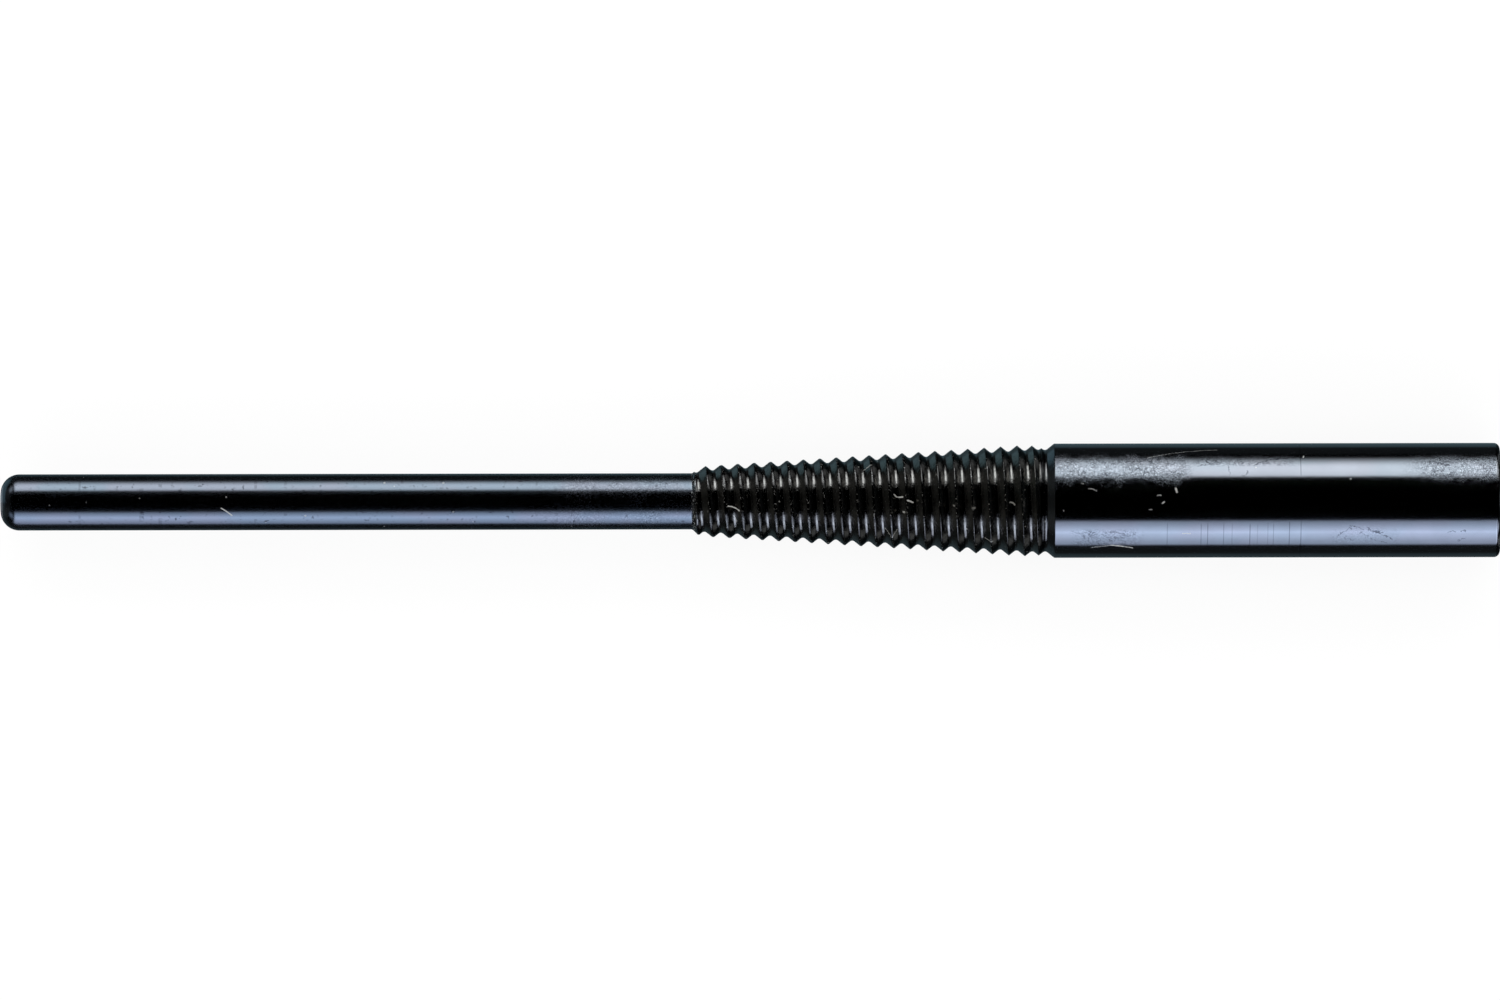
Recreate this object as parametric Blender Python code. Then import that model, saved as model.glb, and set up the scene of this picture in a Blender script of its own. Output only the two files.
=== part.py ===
"""Threaded centring punch: one bar of steel, turned in a single piece.

From the working end (x = 0) to the struck end (x = LENGTH) the bar has a
smooth pilot with a blunt, rounded nose, a right-hand screw thread cut on a
slim cone, a run-out groove, and a plain cylindrical body with an eased edge.
All sections share the X axis.  Units are metres, +Z is up, and the origin is
the centre of the flat on the nose.
"""

import math

import bmesh
import bpy

MM = 0.001

# Overall
LENGTH = 160.0 * MM
PILOT_RADIUS = 3.0 * MM
BODY_RADIUS = 6.1 * MM

# Nose: a flat with a quarter-round edge
NOSE_EDGE_RADIUS = 2.0 * MM

# Lead: a short 45 degree step from the pilot up to the threaded cone
LEAD_START = 73.85 * MM

# Cone that the thread crests lie on
CREST_RADIUS_AT_REF = 3.750 * MM
CREST_REF = 75.13 * MM
CONE_SLOPE = 0.0640  # radius gained per unit of length, 1:7.8 on the diameter

# Thread
PITCH = 1.754 * MM
ROOT_LINE_START = 74.24 * MM  # axial place of the root at +Y, turn 0
ROOT_RADIUS_AT_REF = 3.262 * MM
ROOT_REF = 75.13 * MM
ROOT_SLOPE = 0.0617
ENTRY_SLOPE = 0.20  # the root rises faster over the first half turn
FLANK_ANGLE = math.radians(38.5)  # from the axis
TOOL_NOSE_RADIUS = 0.40 * MM

# Run-out: the last turn or so has a shorter lead and ends in a plain ring groove
SLOWING_TURN = 20.35
STOPPING_TURN = 21.56
LAST_TURN = 22
RING_PLACE = 111.49 * MM
RING_ROOT_RADIUS = 5.43 * MM

# Struck end
END_EDGE_RADIUS = 0.60 * MM

# Mesh density
COLUMNS = 40
FIRST_TURN = -2
ARC_STEPS_NOSE = 6
ARC_STEPS_END = 4


def cone_radius(x):
    return CREST_RADIUS_AT_REF + CONE_SLOPE * (x - CREST_REF)


def blank_radius(x):
    """Radius of the bar before the thread is cut."""
    if x <= LEAD_START:
        return PILOT_RADIUS
    return min(PILOT_RADIUS + (x - LEAD_START), cone_radius(x), BODY_RADIUS)


def root_line(turn):
    """Axial place of the groove's deepest line after so many turns."""
    if turn <= SLOWING_TURN:
        return ROOT_LINE_START + PITCH * turn
    if turn >= STOPPING_TURN:
        return RING_PLACE
    slow_start = ROOT_LINE_START + PITCH * SLOWING_TURN
    travel = RING_PLACE - slow_start
    left = (STOPPING_TURN - turn) / (STOPPING_TURN - SLOWING_TURN)
    return RING_PLACE - travel * left


def root_radius(x):
    slope = ROOT_SLOPE if x > ROOT_REF else ENTRY_SLOPE
    return ROOT_RADIUS_AT_REF + slope * (x - ROOT_REF)


def groove_height(offset):
    """Height of the groove wall above its root: a round nose, then a straight flank."""
    offset = abs(offset)
    nose_end = TOOL_NOSE_RADIUS * math.sin(FLANK_ANGLE)
    if offset <= nose_end:
        return TOOL_NOSE_RADIUS - math.sqrt(TOOL_NOSE_RADIUS**2 - offset**2)
    rise = TOOL_NOSE_RADIUS * (1.0 - math.cos(FLANK_ANGLE))
    return rise + (offset - nose_end) * math.tan(FLANK_ANGLE)


def bar_radius(x, turn):
    """Radius at an axial place, on the side of the bar where turn's fraction points."""
    fraction = turn - math.floor(turn)
    radius = min(
        blank_radius(x), RING_ROOT_RADIUS + groove_height(x - RING_PLACE)
    )
    for n in range(FIRST_TURN, LAST_TURN + 1):
        place = root_line(n + fraction)
        if abs(place - x) < 1.5 * PITCH:
            radius = min(radius, root_radius(place) + groove_height(x - place))
    return max(radius, PILOT_RADIUS) if x < 0.5 * LENGTH else radius


class BarMesh:
    """Collects rings and ribbons of vertices, merging any that coincide."""

    def __init__(self):
        self.bm = bmesh.new()
        self.known = {}

    def vertex(self, x, radius, column):
        """column counts round the bar; column 0 is at +Y and they turn towards +Z."""
        column %= COLUMNS
        key = (round(x * 1e8), round(radius * 1e8), column if radius > 0 else 0)
        if key not in self.known:
            angle = 2.0 * math.pi * column / COLUMNS
            self.known[key] = self.bm.verts.new(
                (x, radius * math.cos(angle), radius * math.sin(angle))
            )
        return self.known[key]

    def face(self, *corners):
        loop = []
        for corner in corners:
            if corner not in loop:
                loop.append(corner)
        if len(loop) >= 3 and not self.bm.faces.get(loop):
            self.bm.faces.new(loop)

    def ring(self, x, radius):
        return [self.vertex(x, radius, j) for j in range(COLUMNS)]

    def band(self, first, second):
        """Quads between two rings, first nearer the nose."""
        for j in range(COLUMNS):
            k = (j + 1) % COLUMNS
            self.face(first[j], first[k], second[k], second[j])


def nose_profile():
    """(x, radius) from the flat to the end of the rounded edge."""
    flat = PILOT_RADIUS - NOSE_EDGE_RADIUS
    for i in range(ARC_STEPS_NOSE + 1):
        a = 0.5 * math.pi * i / ARC_STEPS_NOSE
        yield (
            NOSE_EDGE_RADIUS * (1.0 - math.cos(a)),
            flat + NOSE_EDGE_RADIUS * math.sin(a),
        )


def end_profile():
    """(x, radius) round the edge of the struck end, from the body to the flat."""
    for i in range(ARC_STEPS_END + 1):
        a = 0.5 * math.pi * i / ARC_STEPS_END
        yield (
            LENGTH - END_EDGE_RADIUS * (1.0 - math.sin(a)),
            BODY_RADIUS - END_EDGE_RADIUS * (1.0 - math.cos(a)),
        )


def row_fractions():
    """Where the rows lie between one root line and the next: root, edge of the
    round nose, crest, edge of the next nose."""
    nose = TOOL_NOSE_RADIUS * math.sin(FLANK_ANGLE) / PITCH
    inner = [0.0, nose]
    crest = 0.5 + 0.5 * ROOT_SLOPE / math.tan(FLANK_ANGLE)
    return inner + [crest] + [1.0 - f for f in reversed(inner)]


def thread_ribbon(mesh, start_plane):
    """The threaded surface as one long ribbon that winds round the bar.

    Its near edge is the root line at a turn and its far edge the root line one
    turn later, so neighbouring windings share their edges.  Rows are clamped to
    start_plane, which closes the ribbon on a plain ring there.
    """
    fractions = row_fractions()
    first = FIRST_TURN * COLUMNS
    last = LAST_TURN * COLUMNS
    features = (LEAD_START, lead_end())

    def column(i):
        turn = i / COLUMNS
        here, there = root_line(turn), root_line(turn + 1.0)
        places = [here + f * (there - here) for f in fractions]
        for feature in features:
            inner = range(1, len(places) - 1)
            nearest = min(inner, key=lambda k: abs(places[k] - feature))
            if places[nearest - 1] < feature < places[nearest + 1]:
                places[nearest] = feature
        return [
            mesh.vertex(max(x, start_plane), bar_radius(max(x, start_plane), turn), i)
            for x in places
        ]

    near = column(first)
    for i in range(first, last):
        far = column(i + 1)
        for k in range(len(fractions) - 1):
            mesh.face(near[k], far[k], far[k + 1], near[k + 1])
        near = far


def lead_end():
    """Where the 45 degree step reaches the cone."""
    return (
        CREST_RADIUS_AT_REF - PILOT_RADIUS + LEAD_START - CONE_SLOPE * CREST_REF
    ) / (1.0 - CONE_SLOPE)


def run_out_profile():
    """(x, radius) from the ring groove's root up to the body."""
    nose_end = TOOL_NOSE_RADIUS * math.sin(FLANK_ANGLE)
    yield RING_PLACE + 0.5 * nose_end, RING_ROOT_RADIUS + groove_height(0.5 * nose_end)
    yield RING_PLACE + nose_end, RING_ROOT_RADIUS + groove_height(nose_end)
    rest = BODY_RADIUS - RING_ROOT_RADIUS - groove_height(nose_end)
    yield RING_PLACE + nose_end + rest / math.tan(FLANK_ANGLE), BODY_RADIUS


def build_bar():
    mesh = BarMesh()
    start_plane = LEAD_START - 0.25 * MM

    rings = [mesh.ring(x, r) for x, r in nose_profile()]
    mesh.bm.faces.new(list(reversed(rings[0])))
    rings.append(mesh.ring(start_plane, PILOT_RADIUS))
    for first, second in zip(rings, rings[1:]):
        mesh.band(first, second)

    thread_ribbon(mesh, start_plane)

    rings = [mesh.ring(RING_PLACE, bar_radius(RING_PLACE, 0.0))]
    rings += [mesh.ring(x, r) for x, r in run_out_profile()]
    rings += [mesh.ring(x, r) for x, r in end_profile()]
    for first, second in zip(rings, rings[1:]):
        mesh.band(first, second)
    mesh.bm.faces.new(rings[-1])

    bm = mesh.bm
    bmesh.ops.remove_doubles(bm, verts=bm.verts, dist=0.002 * MM)
    bmesh.ops.triangulate(
        bm, faces=[f for f in bm.faces if len(f.verts) == 4], quad_method="SHORT_EDGE"
    )
    bmesh.ops.recalc_face_normals(bm, faces=bm.faces)
    data = bpy.data.meshes.new("punch_bar")
    bm.to_mesh(data)
    bm.free()
    return data


def blued_steel():
    material = bpy.data.materials.new("blued_steel")
    material.use_nodes = True
    shader = material.node_tree.nodes["Principled BSDF"]
    shader.inputs["Base Color"].default_value = (0.030, 0.034, 0.038, 1.0)
    shader.inputs["Metallic"].default_value = 0.9
    shader.inputs["Roughness"].default_value = 0.24
    return material


def main():
    for obj in list(bpy.data.objects):
        bpy.data.objects.remove(obj, do_unlink=True)

    data = build_bar()
    data.shade_smooth()
    data.set_sharp_from_angle(angle=math.radians(32.0))
    data.materials.append(blued_steel())
    bar = bpy.data.objects.new("punch_bar", data)
    bpy.context.scene.collection.objects.link(bar)


main()
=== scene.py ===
"""Looks of the threaded centering punch: a fine surface mesh, blued-steel material, studio light and camera.

Axis along X, nose at x = 0, struck end at the far end.  All lengths below are millimetres unless a name ends in _M.
"""

import math

import bpy
import numpy as np
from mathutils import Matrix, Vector


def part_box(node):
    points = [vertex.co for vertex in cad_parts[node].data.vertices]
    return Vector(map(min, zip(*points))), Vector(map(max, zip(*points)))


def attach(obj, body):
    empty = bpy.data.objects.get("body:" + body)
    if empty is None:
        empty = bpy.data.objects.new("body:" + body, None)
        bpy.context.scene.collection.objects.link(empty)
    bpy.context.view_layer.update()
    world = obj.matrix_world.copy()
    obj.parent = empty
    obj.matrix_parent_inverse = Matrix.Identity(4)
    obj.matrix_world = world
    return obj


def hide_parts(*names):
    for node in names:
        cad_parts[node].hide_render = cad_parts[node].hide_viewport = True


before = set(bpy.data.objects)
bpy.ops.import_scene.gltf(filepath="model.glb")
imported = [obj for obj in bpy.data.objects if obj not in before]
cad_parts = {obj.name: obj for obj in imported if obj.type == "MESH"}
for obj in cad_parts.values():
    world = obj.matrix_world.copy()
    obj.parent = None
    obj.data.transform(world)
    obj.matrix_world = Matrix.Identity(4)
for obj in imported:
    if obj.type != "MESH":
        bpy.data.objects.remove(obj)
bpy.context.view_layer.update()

LOW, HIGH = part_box("punch_bar")

# --------------------------------------------------------------------------------------------------------------
# Sizes, following the frame
# --------------------------------------------------------------------------------------------------------------

LENGTH = (HIGH.x - LOW.x) * 1000.0
BODY_RADIUS = (HIGH.z - LOW.z) * 500.0
PILOT_RADIUS = 3.0
NOSE_EDGE_RADIUS = 2.0
LEAD_START = 73.85
CREST_RADIUS_AT_REF, CREST_REF, CONE_SLOPE = 3.750, 75.13, 0.0640
PITCH, ROOT_LINE_START = 1.754, 74.24
ROOT_RADIUS_AT_REF, ROOT_REF, ROOT_SLOPE, ENTRY_SLOPE = 3.262, 75.13, 0.0617, 0.20
FLANK = math.radians(38.5)
TOOL_NOSE_RADIUS = 0.40
SLOWING_TURN, STOPPING_TURN, LAST_TURN, FIRST_TURN = 20.35, 21.56, 22, -2
RING_PLACE, RING_ROOT_RADIUS = 111.49, 5.43
END_EDGE_RADIUS = 0.60
WITNESS_LINE = 138.63  # where two turning cuts meet on the body
CREST_EASE = 0.014

COLUMNS = 160
TAU = 2.0 * math.pi


# --------------------------------------------------------------------------------------------------------------
# Smooth, repeatable noise for small shape errors
# --------------------------------------------------------------------------------------------------------------


def lattice(i, j, seed):
    """A value in -1..1 for each lattice point."""
    h = np.sin(i * 127.1 + j * 311.7 + seed * 74.7) * 43758.5453
    return (h - np.floor(h)) * 2.0 - 1.0


def noise(u, v, seed, wrap=None):
    """Value noise.  wrap is the number of cells round the bar, so that v closes on itself."""
    iu, iv = np.floor(u), np.floor(v)
    fu, fv = u - iu, v - iv
    fu, fv = fu * fu * (3 - 2 * fu), fv * fv * (3 - 2 * fv)
    jv0, jv1 = iv, iv + 1
    if wrap:
        jv0, jv1 = np.mod(jv0, wrap), np.mod(jv1, wrap)
    a = lattice(iu, jv0, seed) * (1 - fu) + lattice(iu + 1, jv0, seed) * fu
    b = lattice(iu, jv1, seed) * (1 - fu) + lattice(iu + 1, jv1, seed) * fu
    return a * (1 - fv) + b * fv


# --------------------------------------------------------------------------------------------------------------
# Shape of the bar
# --------------------------------------------------------------------------------------------------------------


def blank_radius(x):
    cone = CREST_RADIUS_AT_REF + CONE_SLOPE * (x - CREST_REF)
    lead = PILOT_RADIUS + np.maximum(x - LEAD_START, 0.0)
    return np.minimum(np.minimum(lead, cone), BODY_RADIUS) * (x > LEAD_START) + PILOT_RADIUS * (x <= LEAD_START)


def root_line(turn):
    turn = np.asarray(turn, float)
    slow_start = ROOT_LINE_START + PITCH * SLOWING_TURN
    left = np.clip((STOPPING_TURN - turn) / (STOPPING_TURN - SLOWING_TURN), 0.0, 1.0)
    late = RING_PLACE - (RING_PLACE - slow_start) * left
    return np.where(turn <= SLOWING_TURN, ROOT_LINE_START + PITCH * turn, late)


def root_radius(x):
    slope = np.where(x > ROOT_REF, ROOT_SLOPE, ENTRY_SLOPE)
    return ROOT_RADIUS_AT_REF + slope * (x - ROOT_REF)


def groove_height(offset):
    offset = np.abs(offset)
    nose_end = TOOL_NOSE_RADIUS * math.sin(FLANK)
    arc = TOOL_NOSE_RADIUS - np.sqrt(np.maximum(TOOL_NOSE_RADIUS**2 - np.minimum(offset, nose_end) ** 2, 0.0))
    return arc + np.maximum(offset - nose_end, 0.0) * math.tan(FLANK)


def soft_min(a, b, width):
    """The lower of two heights, with the corner between them eased over width."""
    h = np.clip(0.5 + 0.5 * (b - a) / width, 0.0, 1.0)
    return b * (1 - h) + a * h - width * h * (1 - h)


def bar_radius(x, turn):
    """Radius for arrays of axial place and turn count.  Also returns how near each point is to a crest, 0..1."""
    fraction = turn - np.floor(turn)
    blank = blank_radius(x)
    angle = fraction
    # crests carry small dents and burrs, and the blank isn't perfectly even
    wear = 0.012 * noise(x * 1.9, angle * 23, 3.0, 23) + 0.010 * noise(x * 4.0, angle * 61, 5.0, 61)
    threaded = np.clip((x - LEAD_START) / 0.6, 0, 1) * np.clip((RING_PLACE + 0.4 - x) / 0.6, 0, 1)
    blank = blank + wear * threaded
    groove = RING_ROOT_RADIUS + groove_height(x - RING_PLACE)
    for n in range(FIRST_TURN, LAST_TURN + 1):
        place = root_line(n + fraction)
        wall = root_radius(place) + groove_height(x - place)
        groove = np.minimum(groove, wall)
    groove = groove + 0.006 * noise(x * 2.3, angle * 31, 11.0, 31) * threaded
    radius = np.where(
        np.abs(groove - blank) < 0.2, soft_min(blank, groove, CREST_EASE), np.minimum(blank, groove)
    )
    low = np.where(x < 0.5 * LENGTH, PILOT_RADIUS, 0.0)
    radius = np.maximum(radius, low)
    crest = np.clip(1.0 - (blank - radius) / 0.10, 0.0, 1.0) * threaded
    depth = np.clip((blank - radius) / 0.45, 0.0, 1.0) * threaded
    return radius, crest, depth


class Surface:
    """Rings and ribbons of vertices gathered in arrays, with coincident ones merged at the end."""

    def __init__(self):
        self.parts, self.quads, self.count = [], [], 0

    def add(self, x, radius, column, crest=None, depth=None):
        x, radius, column = np.broadcast_arrays(x, radius, column)
        zero = np.zeros(x.size)
        rows = np.stack(
            [
                x.ravel(),
                radius.ravel(),
                np.mod(column.ravel(), COLUMNS),
                zero if crest is None else crest.ravel(),
                zero if depth is None else depth.ravel(),
            ],
            1,
        )
        index = np.arange(self.count, self.count + x.size).reshape(x.shape)
        self.parts.append(rows)
        self.count += x.size
        return index

    def stitch(self, grid):
        """Quads of a grid whose first axis runs round the bar and second axis along it."""
        a, b = grid[:-1, :-1], grid[1:, :-1]
        c, d = grid[1:, 1:], grid[:-1, 1:]
        self.quads.append(np.stack([a.ravel(), b.ravel(), c.ravel(), d.ravel()], 1))

    def revolve(self, places, radii):
        """A plain turned length; closed round the bar."""
        column = np.arange(COLUMNS + 1)[:, None]
        x = np.asarray(places, float)[None, :]
        radius = np.asarray(radii, float)[None, :]
        self.stitch(self.add(x + 0 * column, radius + 0 * column, column + 0 * x))

    def merged(self):
        rows = np.concatenate(self.parts)
        key = np.stack([np.round(rows[:, 0] * 2e4), np.round(rows[:, 1] * 2e4), rows[:, 2]], 1).astype(np.int64)
        key[rows[:, 1] <= 0, 2] = 0
        _, first, index = np.unique(key, axis=0, return_index=True, return_inverse=True)
        rows = rows[first]
        quads = index.reshape(-1)[np.concatenate(self.quads)]
        faces = []
        for q in quads:
            loop = []
            for v in q:
                if v not in loop:
                    loop.append(int(v))
            if len(loop) >= 3:
                faces.append(loop)
        return rows, faces


def row_fractions():
    nose = TOOL_NOSE_RADIUS * math.sin(FLANK) / PITCH
    crest = 0.5 + 0.5 * ROOT_SLOPE / math.tan(FLANK)
    rise = [0.0, 0.25 * nose, 0.5 * nose, 0.75 * nose, nose, 0.24, 0.34, 0.43, crest - 0.050, crest - 0.022, crest - 0.007]
    fall = [1.0, 1 - 0.25 * nose, 1 - 0.5 * nose, 1 - 0.75 * nose, 1 - nose, 0.76, 0.66]
    return np.array(sorted(rise + [crest + 0.007, crest + 0.022, crest + 0.050] + fall))


def thread(surface, start_plane):
    """One long ribbon that winds round the bar; neighbouring windings share their edges."""
    fractions = row_fractions()
    i = np.arange(FIRST_TURN * COLUMNS, LAST_TURN * COLUMNS + 1)
    turn = i / COLUMNS
    here, there = root_line(turn), root_line(turn + 1.0)
    x = here[:, None] + fractions[None, :] * (there - here)[:, None]
    lead_end = (CREST_RADIUS_AT_REF - PILOT_RADIUS + LEAD_START - CONE_SLOPE * CREST_REF) / (1 - CONE_SLOPE)
    inner = np.arange(1, len(fractions) - 1)
    for feature in (LEAD_START, lead_end):
        nearest = inner[np.argmin(np.abs(x[:, inner] - feature), axis=1)]
        rows = np.arange(len(i))
        near = (x[rows, nearest - 1] < feature) & (feature < x[rows, nearest + 1])
        x[rows[near], nearest[near]] = feature
    x = np.maximum(x, start_plane)
    turns = np.repeat(turn[:, None], x.shape[1], 1)
    radius, crest, depth = bar_radius(x, turns)
    ring = x <= start_plane + 1e-9
    radius[ring] = PILOT_RADIUS
    crest[ring] = depth[ring] = 0.0
    surface.stitch(surface.add(x, radius, np.repeat(i[:, None], x.shape[1], 1), crest, depth))


def build_surface():
    surface = Surface()
    start_plane = LEAD_START - 0.25

    # flat and rounded edge of the nose, then the pilot
    flat = PILOT_RADIUS - NOSE_EDGE_RADIUS
    arc = np.linspace(0, 0.5 * math.pi, 25)
    places = [0.0] * 6 + list(NOSE_EDGE_RADIUS * (1 - np.cos(arc)))
    radii = list(np.linspace(0.0, flat, 7)[:-1]) + list(flat + NOSE_EDGE_RADIUS * np.sin(arc))
    pilot = np.linspace(NOSE_EDGE_RADIUS, start_plane, 181)[1:]
    places += list(pilot)
    radii += [PILOT_RADIUS] * len(pilot)
    surface.revolve(places, radii)

    thread(surface, start_plane)

    # ring groove, shoulder, body with its witness line, eased edge and struck face
    nose_end = TOOL_NOSE_RADIUS * math.sin(FLANK)
    top = RING_ROOT_RADIUS + groove_height(np.array([nose_end]))[0]
    shoulder = RING_PLACE + nose_end + (BODY_RADIUS - top) / math.tan(FLANK)
    a = np.linspace(0, nose_end, 6)
    places = list(RING_PLACE + a)
    radii = list(RING_ROOT_RADIUS + groove_height(a))
    turn_zero, _, _ = bar_radius(np.array([RING_PLACE]), np.array([0.0]))
    radii[0] = float(turn_zero[0])
    up = np.linspace(0, 1, 7)[1:]
    ease = 0.05
    flank_x = RING_PLACE + nose_end + up * (shoulder - ease - RING_PLACE - nose_end)
    places += list(flank_x)
    radii += list(top + (flank_x - RING_PLACE - nose_end) * math.tan(FLANK))
    places += [shoulder, shoulder + 0.04, shoulder + 0.10]
    radii += [BODY_RADIUS - 0.012, BODY_RADIUS - 0.002, BODY_RADIUS]
    body = np.concatenate(
        [
            np.linspace(shoulder + 0.1, WITNESS_LINE - 0.12, 76)[1:],
            WITNESS_LINE + np.array([-0.07, -0.035, 0.0, 0.035, 0.07, 0.12]),
            np.linspace(WITNESS_LINE + 0.12, LENGTH - END_EDGE_RADIUS, 60)[1:],
        ]
    )
    places += list(body)
    radii += list(BODY_RADIUS - 0.012 * np.exp(-(((body - WITNESS_LINE) / 0.035) ** 2)))
    arc = np.linspace(0, 0.5 * math.pi, 17)[1:]
    places += list(LENGTH - END_EDGE_RADIUS * (1 - np.sin(arc)))
    radii += list(BODY_RADIUS - END_EDGE_RADIUS * (1 - np.cos(arc)))
    inner = np.linspace(BODY_RADIUS - END_EDGE_RADIUS, 0.0, 24)[1:]
    places += [LENGTH] * len(inner)
    radii += list(inner)
    surface.revolve(places, radii)

    rows, faces = surface.merged()
    angle = rows[:, 2] * TAU / COLUMNS
    y, z = rows[:, 1] * np.cos(angle), rows[:, 1] * np.sin(angle)
    # light hammer dents in the struck face, inwards only and fading out before the rim
    struck = (rows[:, 0] > LENGTH - 1e-6) * np.clip((5.2 - rows[:, 1]) / 1.6, 0.0, 1.0)
    dents = 0.55 * noise(y * 0.9 + 9.0, z * 0.9 + 4.0, 21.0) + 0.45 * noise(y * 1.9 + 3.0, z * 1.9 + 8.0, 23.0)
    x = rows[:, 0] - struck * 0.020 * np.clip(0.35 + dents, 0.0, 1.0)
    co = np.stack([x, y, z], 1) * 0.001
    mesh = bpy.data.meshes.new("punch_bar_surface")
    mesh.from_pydata(co.tolist(), [], faces)
    for name, values in (("crest", rows[:, 3]), ("depth", rows[:, 4])):
        attribute = mesh.attributes.new(name, "FLOAT", "POINT")
        attribute.data.foreach_set("value", values.astype(np.float32))
    mesh.validate()
    mesh.update()
    import bmesh

    bm = bmesh.new()
    bm.from_mesh(mesh)
    bmesh.ops.recalc_face_normals(bm, faces=bm.faces)
    bm.to_mesh(mesh)
    bm.free()
    mesh.shade_smooth()
    mesh.set_sharp_from_angle(angle=math.radians(50.0))
    return mesh


# --------------------------------------------------------------------------------------------------------------
# Small helpers for node materials
# --------------------------------------------------------------------------------------------------------------


class Nodes:
    def __init__(self, tree):
        self.tree = tree
        tree.nodes.clear()

    def new(self, kind, **settings):
        node = self.tree.nodes.new(kind)
        for key, value in settings.items():
            setattr(node, key, value)
        return node

    def link(self, source, target):
        self.tree.links.new(source, target)

    def put(self, socket, value):
        if hasattr(value, "is_output"):
            self.link(value, socket)
        else:
            socket.default_value = value

    def math(self, operation, *values, clamp=False):
        node = self.new("ShaderNodeMath", operation=operation, use_clamp=clamp)
        for socket, value in zip(node.inputs, values):
            self.put(socket, value)
        return node.outputs[0]

    def ramp(self, value, low, high, out_low=0.0, out_high=1.0, kind="SMOOTHSTEP"):
        node = self.new("ShaderNodeMapRange", interpolation_type=kind, clamp=True) if kind != "SMOOTHSTEP" else self.new(
            "ShaderNodeMapRange", interpolation_type=kind
        )
        self.put(node.inputs["Value"], value)
        self.put(node.inputs["From Min"], low)
        self.put(node.inputs["From Max"], high)
        self.put(node.inputs["To Min"], out_low)
        self.put(node.inputs["To Max"], out_high)
        return node.outputs["Result"]

    def combine(self, x, y, z):
        node = self.new("ShaderNodeCombineXYZ")
        for socket, value in zip(node.inputs, (x, y, z)):
            self.put(socket, value)
        return node.outputs[0]

    def noise(self, vector, scale, detail=2.0, roughness=0.5, distortion=0.0):
        node = self.new("ShaderNodeTexNoise")
        self.put(node.inputs["Vector"], vector)
        self.put(node.inputs["Scale"], scale)
        self.put(node.inputs["Detail"], detail)
        self.put(node.inputs["Roughness"], roughness)
        self.put(node.inputs["Distortion"], distortion)
        return node.outputs["Fac"]

    def noise1(self, w, scale, detail=2.0, roughness=0.5):
        node = self.new("ShaderNodeTexNoise", noise_dimensions="1D")
        self.put(node.inputs["W"], w)
        self.put(node.inputs["Scale"], scale)
        self.put(node.inputs["Detail"], detail)
        self.put(node.inputs["Roughness"], roughness)
        return node.outputs["Fac"]

    def mix(self, factor, a, b):
        node = self.new("ShaderNodeMix", data_type="RGBA")
        self.put(node.inputs[0], factor)
        self.put(node.inputs[6], a)
        self.put(node.inputs[7], b)
        return node.outputs[2]

    def mix_value(self, factor, a, b):
        node = self.new("ShaderNodeMix", data_type="FLOAT")
        self.put(node.inputs[0], factor)
        self.put(node.inputs[2], a)
        self.put(node.inputs[3], b)
        return node.outputs[0]

    def attribute(self, name):
        return self.new("ShaderNodeAttribute", attribute_name=name).outputs["Fac"]


def colour(r, g, b):
    return (r, g, b, 1.0)


# --------------------------------------------------------------------------------------------------------------
# Blued steel
# --------------------------------------------------------------------------------------------------------------

# Marks of use, listed one by one.  Each line is start and end as (mm along the bar, degrees from the top towards +Y),
# half width in mm, sag in mm and strength.
ROD_R, THREAD_R = PILOT_RADIUS, 4.3
DARK_MARKS = (
    ((120.4, 28), (121.4, 36), 0.05, 0.0, 0.8),
    ((117.6, 45), (117.8, 26), 0.04, 0.15, 0.7),
    ((123.1, 42), (123.1, 22), 0.035, 0.0, 0.5),
    ((131.0, 40), (131.0, 25), 0.035, 0.0, 0.5),
    ((115.9, -46), (116.8, -34), 0.06, 0.2, 0.6),
    ((117.4, -36), (118.4, -44), 0.05, 0.08, 0.65),
    ((118.6, -34), (120.5, -38), 0.05, 0.1, 0.6),
    ((118.9, -42), (120.2, -47), 0.04, 0.0, 0.45),
    ((133.6, 37), (135.1, 44), 0.06, 0.1, 0.7),
    ((135.0, 44), (137.3, 47), 0.07, 0.1, 0.8),
    ((133.0, 31), (132.4, 25), 0.05, 0.1, 0.5),
    ((127.6, 37), (129.3, 39), 0.05, 0.1, 0.6),
    ((142.6, -38), (144.0, -29), 0.045, 0.08, 0.70),
    ((143.8, -26), (145.3, -31), 0.045, 0.05, 0.70),
    ((145.6, -29), (147.4, -35), 0.050, -0.08, 0.75),
    ((146.3, -33), (147.1, -34), 0.090, 0.0, 0.85),
    ((144.9, -34), (145.8, -40), 0.035, 0.04, 0.55),
    ((147.2, -37), (148.4, -44), 0.045, 0.08, 0.70),
    ((146.0, -42), (147.9, -48), 0.040, -0.06, 0.60),
    ((143.2, -41), (144.3, -44), 0.035, 0.0, 0.45),
    ((154.2, -35), (155.1, -33), 0.05, 0.05, 0.55),
    ((155.3, -46), (156.2, -41), 0.04, 0.05, 0.5),
    ((153.0, 41), (154.5, 37), 0.11, 0.0, 0.8),
    ((153.6, 42), (155.4, 40), 0.06, 0.1, 0.6),
    ((155.6, -33), (156.2, -33), 0.06, 0.0, 0.6),
)
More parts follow.
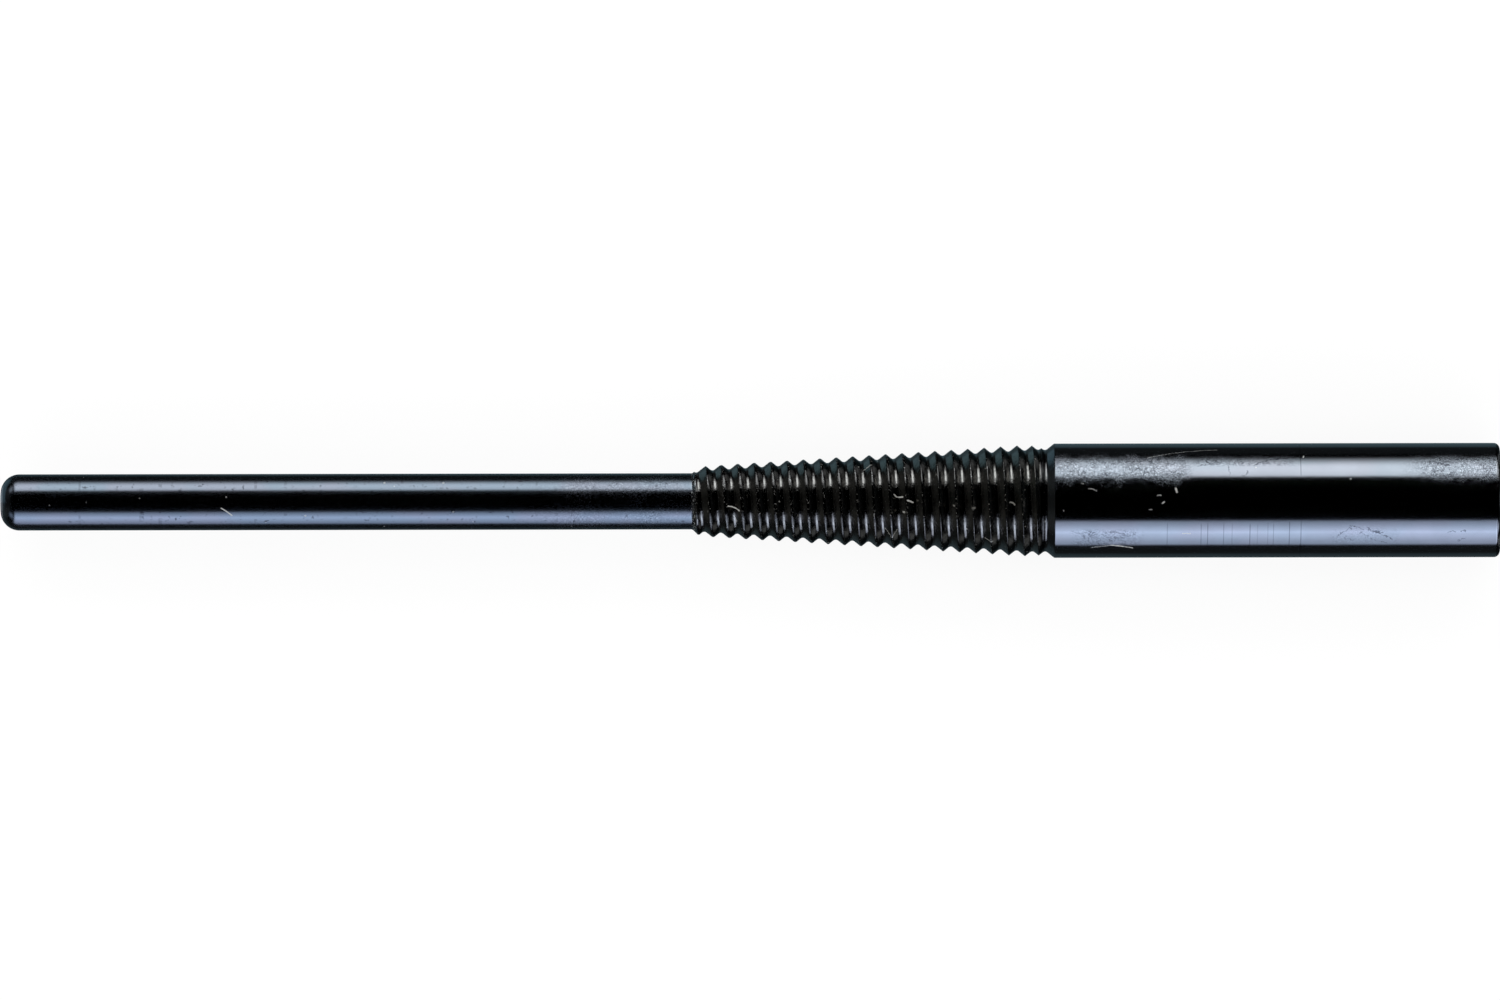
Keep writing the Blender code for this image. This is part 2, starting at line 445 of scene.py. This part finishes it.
PALE_MARKS = (
    ((122.3, 48), (129.8, 62), 0.045, 0.25, 0.35),
    ((116.3, -55), (118.6, -51), 0.06, 0.0, 0.45),
    ((118.4, -51), (120.8, -56), 0.07, 0.06, 0.95),
    ((116.0, 12.4), (116.9, 9.8), 0.06, 0.05, 0.55),
    ((115.2, 18), (115.5, 17), 0.07, 0.0, 0.5),
    ((125.25, 13), (125.45, 8), 0.10, 0.0, 0.85),
    ((123.3, 5), (123.75, 5), 0.07, 0.05, 0.75),
    ((123.8, -3), (124.1, -1), 0.075, 0.0, 0.75),
    ((122.4, -9), (122.8, -9), 0.06, 0.0, 0.45),
    ((113.3, -10), (113.4, -10), 0.08, 0.0, 0.75),
    ((133.8, 35), (133.9, 35), 0.07, 0.0, 0.8),
    ((138.9, 48), (139.0, 51), 0.065, 0.0, 0.7),
    ((143.8, 22), (144.0, 22), 0.07, 0.0, 0.5),
    ((126.0, -35), (126.9, -35), 0.05, 0.0, 0.8),
)
ROD_MARKS = (
    ((23.6, -12), (24.8, -29), 0.055, 0.05, 0.75),
    ((5.3, -6), (5.4, -6), 0.05, 0.0, 0.5),
    ((9.2, 0), (9.3, 0), 0.04, 0.0, 0.4),
    ((14.9, 8), (15.0, 8), 0.05, 0.0, 0.55),
    ((8.9, 62), (8.95, 62), 0.05, 0.0, 0.5),
)
THREAD_MARKS = (
    ((95.3, 9), (95.9, 5), 0.06, -0.08, 0.6),
    ((95.8, 5), (96.3, 5), 0.07, 0.0, 0.7),
    ((96.7, 1), (97.4, -2), 0.07, 0.0, 0.7),
    ((94.4, -39), (95.1, -51), 0.045, 0.0, 0.45),
    ((95.1, -51), (95.7, -40), 0.045, 0.0, 0.45),
    ((92.1, 49), (93.0, 52), 0.07, 0.0, 0.5),
    ((96.25, -14), (96.5, -14), 0.10, 0.0, 0.55),
    ((77.6, -8), (78.9, -16), 0.075, 0.1, 0.75),
    ((78.2, -26), (78.5, -40), 0.06, 0.15, 0.45),
    ((105.0, -49), (105.9, -50), 0.06, 0.0, 0.45),
    ((103.6, -8), (104.0, -8), 0.10, 0.0, 0.3),
    ((107.6, -2), (108.2, -5), 0.07, 0.1, 0.4),
    ((101.6, -5), (101.8, -6), 0.09, 0.0, 0.3),
)
TICKS = (124.4, 128.0, 128.7, 130.4, 131.3, 133.2, 134.0, 135.1, 135.7, 137.4)
TICK_STRENGTHS = (0.6, 0.7, 0.9, 0.7, 0.4, 1.0, 0.35, 0.4, 0.6, 1.0)


def marks(n, x, degrees, radius, strokes, wiggle):
    """One mask holding every stroke of a list, laid on the unrolled surface of a cylinder of this radius."""
    per_degree = math.pi / 180.0 * radius
    around = n.math("MULTIPLY", degrees, per_degree)
    total = None
    for (x0, a0), (x1, a1), half, sag, strength in strokes:
        s0, s1 = a0 * per_degree, a1 * per_degree
        length = math.hypot(x1 - x0, s1 - s0)
        cos, sin = (x1 - x0) / length, (s1 - s0) / length
        along = n.math("MULTIPLY_ADD", around, sin, -(x0 * cos + s0 * sin))
        along = n.math("MULTIPLY_ADD", x, cos, along)
        across = n.math("MULTIPLY_ADD", around, cos, x0 * sin - s0 * cos)
        across = n.math("MULTIPLY_ADD", x, -sin, across)
        left = n.math("SUBTRACT", length, along)
        if sag:
            bow = n.math("MULTIPLY", n.math("MULTIPLY", along, left), 4.0 * sag / length**2)
            across = n.math("SUBTRACT", across, bow)
        if wiggle is not None and length > 0.5:
            across = n.math("ADD", across, wiggle)
        line = n.ramp(n.math("ABSOLUTE", across), 0.5 * half, 1.5 * half, strength, 0.0)
        ends = n.ramp(n.math("MINIMUM", along, left), -half, half)
        stroke = n.math("MULTIPLY", line, ends)
        total = stroke if total is None else n.math("MAXIMUM", total, stroke)
    return total


def window(n, value, low, high, soft):
    """1 between low and high, easing to 0 outside."""
    return n.math(
        "MULTIPLY", n.ramp(value, low - soft, low + soft), n.ramp(value, high - soft, high + soft, 1.0, 0.0)
    )


def blued_steel():
    material = bpy.data.materials.new("blued_steel")
    material.use_nodes = True
    n = Nodes(material.node_tree)
    place = n.new("ShaderNodeTexCoord").outputs["Object"]
    mm = n.new("ShaderNodeVectorMath", operation="SCALE")
    n.link(place, mm.inputs[0])
    mm.inputs["Scale"].default_value = 1000.0
    mm = mm.outputs[0]
    split = n.new("ShaderNodeSeparateXYZ")
    n.link(mm, split.inputs[0])
    x, y, z = split.outputs
    degrees = n.math("MULTIPLY", n.math("ARCTAN2", y, z), 180.0 / math.pi)
    radius = n.math("SQRT", n.math("ADD", n.math("MULTIPLY", y, y), n.math("MULTIPLY", z, z)))

    crest = n.attribute("crest")
    on_rod = n.ramp(x, 73.4, 74.4, 1.0, 0.0)
    on_body = n.ramp(x, 111.9, 112.5)
    on_face = n.math("MAXIMUM", n.ramp(x, LENGTH - 0.10, LENGTH - 0.05), n.ramp(x, 0.02, 0.06, 1.0, 0.0))
    on_thread = n.math("MULTIPLY", n.ramp(x, 73.9, 74.4), n.ramp(x, 111.4, 111.9, 1.0, 0.0))

    # shared noises: uneven bluing, soft smear, fine grain, coarse patches
    film = n.noise(mm, 0.30, 3.0, 0.55, 0.3)
    smear = n.noise(n.combine(n.math("MULTIPLY", x, 0.35), y, z), 1.3, 2.0, 0.5, 0.4)
    grain = n.noise(mm, 9.0, 2.0, 0.6)
    mottle = n.noise(mm, 2.2, 3.0, 0.6, 0.5)
    speckle = n.noise(n.combine(n.math("MULTIPLY", x, 0.8), y, z), 6.0, 3.0, 0.7, 0.8)
    flecks = n.noise(n.combine(x, n.math("MULTIPLY", y, 0.7), n.math("MULTIPLY", z, 0.7)), 5.5, 2.0, 0.6, 1.2)
    patches = n.noise(mm, 0.55, 2.0, 0.5)
    curls = n.math("ABSOLUTE", n.math("SUBTRACT", n.noise(mm, 1.5, 3.0, 0.6, 0.9), 0.5))
    curls = n.ramp(curls, 0.012, 0.045, 1.0, 0.0)

    # where the finish is scuffed: beside the shoulder, near the struck end, a low patch, and towards the thread
    scuffed = n.math("MULTIPLY", window(n, x, 112.0, 126.6, 0.9), window(n, degrees, 9.0, 58.0, 9.0))
    near_end = n.math("MULTIPLY", window(n, x, 151.0, 161.0, 2.4), window(n, degrees, 13.0, 54.0, 7.0))
    low_patch = n.math("MULTIPLY", window(n, x, 114.6, 121.4, 1.0), window(n, degrees, -53.0, -31.0, 3.0))
    high_edge = n.math("MULTIPLY", window(n, x, 127.0, 137.8, 1.5), window(n, degrees, 38.0, 52.0, 3.0))
    scrub = n.math("MULTIPLY", window(n, x, 141.8, 149.0, 0.5), window(n, degrees, -49.0, -27.0, 3.0))
    rod_end = n.math("MULTIPLY", window(n, x, 58.0, 73.8, 4.0), 0.55)
    back = n.math("MULTIPLY", n.ramp(n.math("ABSOLUTE", degrees), 88.0, 108.0), n.ramp(patches, 0.50, 0.62))
    back = n.math("MULTIPLY", n.math("MULTIPLY", back, 0.6), on_body)
    zone = n.math("MAXIMUM", scuffed, n.math("MULTIPLY", near_end, 0.8))
    zone = n.math("MAXIMUM", zone, n.math("MULTIPLY", low_patch, 0.45))
    zone = n.math("MAXIMUM", zone, n.math("MULTIPLY", high_edge, 0.5))
    zone = n.math("MAXIMUM", zone, n.math("MULTIPLY", scrub, 0.22))
    zone = n.math("MAXIMUM", n.math("MAXIMUM", zone, rod_end), back)
    zone = n.math("MULTIPLY", zone, n.ramp(patches, 0.34, 0.60, 0.35, 1.0))

    # fine turned lines along the rod and short ticks on the body
    fine = n.noise1(x, 5.0, 2.0, 0.6)
    lines = n.math("MULTIPLY", n.math("SUBTRACT", fine, 0.5), n.math("ADD", n.math("MULTIPLY", on_rod, 0.8), 0.2))
    ticks = None
    for at, strength in zip(TICKS, TICK_STRENGTHS):
        away = n.math("ABSOLUTE", n.math("SUBTRACT", x, at))
        tick = n.ramp(away, 0.02, 0.085, strength, 0.0)
        ticks = tick if ticks is None else n.math("MAXIMUM", ticks, tick)
    ticks = n.math("MULTIPLY", ticks, window(n, n.math("ADD", degrees, n.math("MULTIPLY", smear, 14.0)), -48.0, -17.0, 3.0))
    seam = n.ramp(n.math("ABSOLUTE", n.math("SUBTRACT", x, WITNESS_LINE)), 0.02, 0.09, 0.8, 0.0)
    ticks = n.math("MAXIMUM", ticks, seam)
    rod_flecks = n.math("MULTIPLY", n.ramp(mottle, 0.60, 0.67), n.math("MULTIPLY", on_rod, n.ramp(patches, 0.40, 0.60, 0.05, 0.8)))
    rod_ticks = n.math("MULTIPLY", n.ramp(n.noise1(x, 0.9, 1.0, 0.5), 0.68, 0.72), n.ramp(smear, 0.50, 0.60, 0.0, 0.3))
    rod_ticks = n.math("MAXIMUM", rod_flecks, n.math("MULTIPLY", rod_ticks, on_rod))

    # strokes
    wiggle = n.math("MULTIPLY", n.math("SUBTRACT", n.noise(mm, 3.6, 2.0), 0.5), 0.75)
    dark = marks(n, x, degrees, BODY_RADIUS, DARK_MARKS, wiggle)
    dark = n.math("MAXIMUM", dark, n.math("MULTIPLY", ticks, 0.42))
    dark = n.math("MAXIMUM", dark, rod_ticks)
    dark = n.math("MAXIMUM", dark, n.math("MULTIPLY", n.math("MINIMUM", zone, 0.8), n.ramp(flecks, 0.58, 0.68)))
    rubbed = n.math("MAXIMUM", n.math("MAXIMUM", scuffed, near_end), n.math("MULTIPLY", low_patch, 0.9))
    rubbed = n.math("MAXIMUM", rubbed, high_edge)
    rubbed = n.math("MULTIPLY", rubbed, n.ramp(smear, 0.40, 0.60, 0.25, 0.8))
    dark = n.math("MAXIMUM", dark, n.math("MULTIPLY", rubbed, curls))
    small_wiggle = n.math("MULTIPLY", wiggle, 0.25)
    pale = marks(n, x, degrees, BODY_RADIUS, PALE_MARKS, small_wiggle)
    pale = n.math("MULTIPLY", pale, n.ramp(speckle, 0.38, 0.55, 0.45, 1.0))
    pale = n.math("MAXIMUM", pale, marks(n, x, degrees, ROD_R, ROD_MARKS, None))
    pale = n.math("MAXIMUM", pale, marks(n, x, degrees, THREAD_R, THREAD_MARKS, small_wiggle))

    # loose specks of dust: mostly in the thread, a few on the rod
    cells = n.new("ShaderNodeTexVoronoi", voronoi_dimensions="3D", feature="F1")
    n.link(mm, cells.inputs["Vector"])
    cells.inputs["Scale"].default_value = 0.95
    chance = n.new("ShaderNodeSeparateColor")
    n.link(cells.outputs["Color"], chance.inputs[0])
    keep = n.ramp(chance.outputs[0], n.math("SUBTRACT", 0.86, n.math("MULTIPLY", on_thread, 0.18)), 0.99, 0.0, 1.0, "LINEAR")
    size = n.math("ADD", 0.07, n.math("MULTIPLY", chance.outputs[1], 0.06))
    speck = n.math("LESS_THAN", cells.outputs["Distance"], size)
    speck = n.math("MULTIPLY", n.math("MULTIPLY", speck, keep), n.math("SUBTRACT", 1.0, on_body))
    pale = n.math("MAXIMUM", pale, n.math("MULTIPLY", speck, 0.5))
    crease = n.math("MULTIPLY", window(n, x, 73.75, 74.25, 0.12), n.ramp(flecks, 0.55, 0.68, 0.0, 0.5))
    pale = n.math("MAXIMUM", pale, crease)
    nicks = n.math("MULTIPLY", n.math("MULTIPLY", crest, on_thread), n.ramp(flecks, 0.60, 0.68, 0.0, 0.4))
    pale = n.math("MAXIMUM", pale, nicks)

    # finish
    rough = n.mix_value(on_rod, 0.135, 0.190)
    rough = n.mix_value(on_body, rough, 0.115)
    rough = n.math("ADD", rough, n.math("MULTIPLY", n.math("SUBTRACT", film, 0.5), 0.05))
    rough = n.math("ADD", rough, n.math("MULTIPLY", zone, n.ramp(speckle, 0.46, 0.60, 0.01, 0.20)))
    rough = n.mix_value(on_face, rough, n.ramp(patches, 0.35, 0.65, 0.22, 0.32))
    rough = n.mix_value(pale, rough, 0.6)

    hue = n.ramp(n.noise(n.combine(n.math("MULTIPLY", x, 0.5), y, z), 0.28, 2.0, 0.5), 0.40, 0.60)
    tint = n.mix(hue, colour(0.167, 0.179, 0.188), colour(0.176, 0.179, 0.189))
    tint = n.mix(n.math("MULTIPLY", n.ramp(film, 0.35, 0.65), 0.12), tint, colour(0.10, 0.10, 0.105))
    rod_tint = n.mix(hue, colour(0.108, 0.126, 0.142), colour(0.120, 0.126, 0.142))
    tint = n.mix(on_rod, tint, rod_tint)
    tint = n.mix(on_thread, tint, colour(0.178, 0.168, 0.150))
    mottled = n.math("MULTIPLY", zone, n.ramp(speckle, 0.47, 0.56))
    tint = n.mix(n.math("MULTIPLY", mottled, 0.42), tint, colour(0.06, 0.06, 0.065))
    bright = n.math("MULTIPLY", zone, n.ramp(speckle, 0.36, 0.47, 1.0, 0.0))
    tint = n.mix(n.math("MULTIPLY", bright, 0.55), tint, colour(0.32, 0.33, 0.34))
    streaky = n.math("MULTIPLY", on_thread, n.ramp(mottle, 0.48, 0.62))
    tint = n.mix(n.math("MULTIPLY", streaky, 0.40), tint, colour(0.06, 0.057, 0.052))
    burnish = n.math("MULTIPLY", n.ramp(x, LENGTH - 0.62, LENGTH - 0.40), n.ramp(x, LENGTH - 0.30, LENGTH - 0.12, 0.5, 0.0))
    tint = n.mix(burnish, tint, colour(0.56, 0.55, 0.54))
    # painted shade: the crests are darkened so that their thin highlight stays dim
    tint = n.mix(n.math("MULTIPLY", crest, 0.78), tint, colour(0.035, 0.034, 0.032))
    # painted shade: the root of the last groove by the shoulder is darkened nearly to black, hiding its highlight
    last_groove_painted_shade = n.math("MULTIPLY", window(n, x, 110.92, 111.50, 0.05), n.ramp(speckle, 0.30, 0.65, 0.95, 0.75))
    tint = n.mix(last_groove_painted_shade, tint, colour(0.02, 0.02, 0.02))
    worn = n.math("ADD", n.math("MULTIPLY", mottle, 0.45), n.math("MULTIPLY", patches, 0.35))
    worn = n.math("ADD", worn, n.ramp(radius, 1.5, 5.4, 0.16, 0.04, "LINEAR"))
    worn = n.ramp(worn, 0.42, 0.58)
    steel = n.mix(worn, colour(0.33, 0.33, 0.336), colour(0.55, 0.546, 0.54))
    turned = n.math("SINE", n.math("MULTIPLY_ADD", smear, 1.5, n.math("MULTIPLY", radius, TAU / 0.58)))
    steel = n.mix(n.ramp(turned, -0.2, 0.9, 0.0, 0.22), steel, colour(0.17, 0.17, 0.175))
    steel = n.mix(n.ramp(flecks, 0.60, 0.68, 0.0, 0.6), steel, colour(0.05, 0.05, 0.05))
    rim = n.ramp(radius, BODY_RADIUS - 1.0, BODY_RADIUS - 0.62, 1.0, 0.45)
    tint = n.mix(n.math("MULTIPLY", on_face, rim), tint, steel)
    tint = n.mix(dark, tint, colour(0.030, 0.032, 0.038))
    tint = n.mix(pale, tint, colour(0.50, 0.50, 0.47))

    # relief, in millimetres
    height = n.math("MULTIPLY", lines, n.math("ADD", 0.0002, n.math("MULTIPLY", on_rod, 0.0008)))
    height = n.math("ADD", height, n.math("MULTIPLY", n.math("SUBTRACT", smear, 0.5), 0.0030))
    grainy = n.math("ADD", 0.0003, n.math("MULTIPLY", on_rod, 0.0022))
    height = n.math("ADD", height, n.math("MULTIPLY", n.math("SUBTRACT", grain, 0.5), grainy))
    uneven = n.math("MULTIPLY", n.math("SUBTRACT", mottle, 0.5), 0.014)
    uneven = n.math("ADD", uneven, n.math("MULTIPLY", n.math("SUBTRACT", speckle, 0.5), 0.019))
    height = n.math("ADD", height, n.math("MULTIPLY", uneven, zone))
    tooled = n.math("MULTIPLY", n.math("SUBTRACT", mottle, 0.5), n.math("MULTIPLY", on_thread, 0.026))
    height = n.math("ADD", height, tooled)
    height = n.math("ADD", height, n.math("MULTIPLY", ticks, -0.002))
    rings = n.math("SINE", n.math("MULTIPLY", radius, TAU / 0.16))
    height = n.math("ADD", height, n.math("MULTIPLY", n.math("MULTIPLY", rings, on_face), 0.0022))
    bump = n.new("ShaderNodeBump")
    bump.inputs["Distance"].default_value = 0.001
    bump.inputs["Strength"].default_value = 1.0
    n.link(height, bump.inputs["Height"])

    shader = n.new("ShaderNodeBsdfPrincipled")
    n.put(shader.inputs["Base Color"], tint)
    n.put(shader.inputs["Metallic"], n.math("SUBTRACT", 1.0, pale))
    n.put(shader.inputs["Roughness"], rough)
    n.link(bump.outputs["Normal"], shader.inputs["Normal"])
    out = n.new("ShaderNodeOutputMaterial")
    n.link(shader.outputs[0], out.inputs["Surface"])
    return material


def pale_floor():
    material = bpy.data.materials.new("pale_floor")
    material.use_nodes = True
    n = Nodes(material.node_tree)
    diffuse = n.new("ShaderNodeBsdfDiffuse")
    diffuse.inputs["Color"].default_value = colour(0.92, 0.92, 0.92)
    glow = n.new("ShaderNodeEmission")
    glow.inputs["Color"].default_value = colour(1.0, 1.0, 1.0)
    glow.inputs["Strength"].default_value = 1.0
    both = n.new("ShaderNodeMixShader")
    both.inputs[0].default_value = 0.86
    n.link(diffuse.outputs[0], both.inputs[1])
    n.link(glow.outputs[0], both.inputs[2])
    out = n.new("ShaderNodeOutputMaterial")
    n.link(both.outputs[0], out.inputs["Surface"])
    return material


# --------------------------------------------------------------------------------------------------------------
# Studio
# --------------------------------------------------------------------------------------------------------------


def studio_world():
    """White surroundings for the floor; for mirror-like rays, two long soft boxes either side of the bar."""
    world = bpy.data.worlds.new("studio")
    bpy.context.scene.world = world
    world.use_nodes = True
    world.cycles.sampling_method = "NONE"
    n = Nodes(world.node_tree)
    ray = n.new("ShaderNodeLightPath")
    direction = n.new("ShaderNodeTexCoord").outputs["Generated"]
    split = n.new("ShaderNodeSeparateXYZ")
    n.link(direction, split.inputs[0])
    dx, dy, dz = split.outputs
    # angle from straight up, turning towards +Y or -Y, in degrees
    side = n.math("MULTIPLY", n.math("ARCTAN2", n.math("ABSOLUTE", dy), dz), 180.0 / math.pi)
    upper = n.math("GREATER_THAN", dy, 0.0)
    lower = n.math("SUBTRACT", 1.0, upper)
    along = n.math("ABSOLUTE", dx)
    # soft boxes end this far along the bar's direction
    reach = n.ramp(along, 0.30, 0.46, 1.0, 0.0)

    up = n.math("MULTIPLY", n.ramp(side, 46.0, 53.0), n.ramp(side, 70.0, 100.0, 1.0, 0.0))
    up = n.math("MULTIPLY", up, n.ramp(side, 46.0, 66.0, 0.80, 1.0))
    low = n.math("MULTIPLY", n.ramp(side, 38.5, 45.5), n.ramp(side, 97.0, 105.0, 1.0, 0.0))
    peak = n.math("MULTIPLY", n.ramp(side, 42.0, 68.0, 0.42, 1.0), n.ramp(side, 68.0, 98.0, 1.0, 0.52))
    low = n.math("MULTIPLY", low, peak)
    streak = n.math("MULTIPLY", n.ramp(side, 62.0, 67.5), n.ramp(side, 67.5, 73.0, 0.14, 0.0))
    low = n.math("ADD", low, streak)
    boxes_up = n.math("MULTIPLY", n.math("MULTIPLY", up, upper), reach)
    boxes_low = n.math("MULTIPLY", n.math("MULTIPLY", low, lower), reach)
    # narrow strip lights beyond the ends of the soft boxes
    strip = n.math("MULTIPLY", n.ramp(side, 50.0, 65.0), n.ramp(side, 68.0, 92.0, 1.0, 0.0))
    strip = n.math("MULTIPLY", strip, n.math("MULTIPLY", n.ramp(along, 0.48, 0.56), n.ramp(along, 0.72, 0.82, 0.27, 0.0)))
    boxes_up = n.math("ADD", boxes_up, n.math("MULTIPLY", strip, upper))
    boxes_low = n.math("ADD", boxes_low, n.math("MULTIPLY", strip, lower))

    def tinted(level, tone, strength):
        node = n.new("ShaderNodeVectorMath", operation="SCALE")
        node.inputs[0].default_value = tone
        n.put(node.inputs["Scale"], n.math("MULTIPLY", level, strength))
        return node.outputs[0]

    def plus(a, b):
        node = n.new("ShaderNodeVectorMath", operation="ADD")
        n.link(a, node.inputs[0])
        n.link(b, node.inputs[1])
        return node.outputs[0]

    light = plus(tinted(boxes_up, (0.90, 0.97, 1.06), 3.75), tinted(boxes_low, (0.82, 0.95, 1.25), 2.9))
    # dim room below and at the ends
    towards_end = n.ramp(dx, 0.06, 0.30, 1.0, 0.10)
    towards_nose = n.math("SUBTRACT", n.ramp(dx, -0.48, -0.34, 2.1, 1.0), n.math("MULTIPLY", n.ramp(dx, -0.10, -0.04, 0.5, 0.0), n.ramp(dx, -0.42, -0.32)))
    towards_nose = n.mix_value(upper, 1.0, towards_nose)
    onset = n.math("ADD", side, n.math("MULTIPLY", upper, n.ramp(dx, -0.55, -0.38, 18.0, 0.0)))
    under = n.math("MULTIPLY", n.ramp(onset, 131.0, 141.0), n.math("ADD", n.math("MULTIPLY", upper, 0.6), 0.4))
    under = n.math("MULTIPLY", under, n.math("MULTIPLY", towards_end, towards_nose))
    light = plus(light, tinted(under, (0.066, 0.115, 0.140), 1.0))
    horizon = n.math("MULTIPLY", n.ramp(side, 101.0, 112.0), towards_end)
    light = plus(light, tinted(horizon, (0.024, 0.028, 0.030), 1.0))
    left = n.ramp(n.math("MULTIPLY", dx, -1.0), 0.72, 0.86)
    left = n.math("MULTIPLY", left, n.ramp(n.math("ABSOLUTE", dy), 0.10, 0.42, 0.42, 1.0))
    light = plus(light, tinted(left, (0.066, 0.070, 0.070), 1.0))
    right = n.ramp(dx, 0.80, 0.92)
    light = plus(light, tinted(right, (0.012, 0.014, 0.016), 1.0))
    end = n.ramp(dx, 0.984, 0.994)
    light = plus(light, tinted(end, (0.80, 0.85, 0.90), 1.0))
    corner = n.math("MULTIPLY", window(n, dx, 0.57, 0.74, 0.04), window(n, side, 104.0, 146.0, 9.0))
    light = plus(light, tinted(corner, (0.19, 0.205, 0.22), 1.0))

    # the pale floor straight below, seen past the ends
    floor_glow = n.math("MULTIPLY", n.ramp(dx, -0.2, 0.2, 0.45, 1.0), n.ramp(side, 158.0, 170.0))
    floor_glow = n.math("MULTIPLY", floor_glow, n.math("MULTIPLY", n.ramp(along, 0.42, 0.54), n.ramp(along, 0.80, 0.92, 1.0, 0.0)))
    light = plus(light, tinted(floor_glow, (0.95, 1.00, 1.04), 1.0))

    glossy = n.new("ShaderNodeBackground")
    n.link(light, glossy.inputs["Color"])
    plain = n.new("ShaderNodeBackground")
    plain.inputs["Color"].default_value = colour(1.0, 1.0, 1.0)
    plain.inputs["Strength"].default_value = 1.0
    both = n.new("ShaderNodeMixShader")
    n.link(ray.outputs["Is Glossy Ray"], both.inputs[0])
    n.link(plain.outputs[0], both.inputs[1])
    n.link(glossy.outputs[0], both.inputs[2])
    out = n.new("ShaderNodeOutputWorld")
    n.link(both.outputs[0], out.inputs["Surface"])


def softbox(name, location, target, width, depth, energy):
    data = bpy.data.lights.new(name, "AREA")
    data.shape = "RECTANGLE"
    data.size, data.size_y = width, depth
    data.energy = energy
    lamp = bpy.data.objects.new(name, data)
    lamp.location = location
    lamp.rotation_euler = (Vector(target) - Vector(location)).to_track_quat("-Z", "Y").to_euler()
    lamp.visible_glossy = False
    lamp.visible_camera = False
    bpy.context.scene.collection.objects.link(lamp)
    return lamp


def build_floor():
    size, steps = 14.0, 24
    low = LOW.z - 0.00002
    verts, faces = [], []
    for j in range(steps + 1):
        for i in range(steps + 1):
            verts.append(((i / steps - 0.5) * size + 0.08, (j / steps - 0.5) * size, low))
    for j in range(steps):
        for i in range(steps):
            a = j * (steps + 1) + i
            faces.append((a, a + 1, a + steps + 2, a + steps + 1))
    mesh = bpy.data.meshes.new("floor")
    mesh.from_pydata(verts, [], faces)
    mesh.materials.append(pale_floor())
    floor = bpy.data.objects.new("floor", mesh)
    floor.visible_glossy = False
    bpy.context.scene.collection.objects.link(floor)
    return floor


def build_camera():
    distance = 1.50
    middle = Vector(((LOW.x + HIGH.x) / 2, 0.0, 0.0))
    data = bpy.data.cameras.new("camera")
    data.sensor_width = 36.0
    data.lens = 36.0 * distance / ((HIGH.x - LOW.x) * 1500.0 / 1498.5)
    data.clip_start, data.clip_end = 0.05, 50.0
    camera = bpy.data.objects.new("camera", data)
    # a hair above the bar's axis and turned a tenth of a degree, so the nose sits slightly lower than the struck end
    camera.location = middle + Vector((0.0, 0.000131, distance))
    camera.rotation_euler = (0.0, 0.0, math.radians(-0.096))
    bpy.context.scene.collection.objects.link(camera)
    bpy.context.scene.camera = camera
    return camera


# --------------------------------------------------------------------------------------------------------------
# Scene
# --------------------------------------------------------------------------------------------------------------

mesh = build_surface()
mesh.materials.append(blued_steel())
bar = bpy.data.objects.new("punch_bar_surface", mesh)
bpy.context.scene.collection.objects.link(bar)
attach(bar, "root")
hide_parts("punch_bar")

build_floor()
studio_world()
softbox("softbox_back", (0.08, 0.75, 0.55), (0.08, 0.0, 0.0), 1.2, 0.4, 3.0)
softbox("softbox_front", (0.08, -0.75, 0.50), (0.08, 0.0, 0.0), 1.2, 0.4, 2.5)
build_camera()

bpy.context.scene.view_settings.view_transform = "Standard"
bpy.context.scene.view_settings.look = "None"
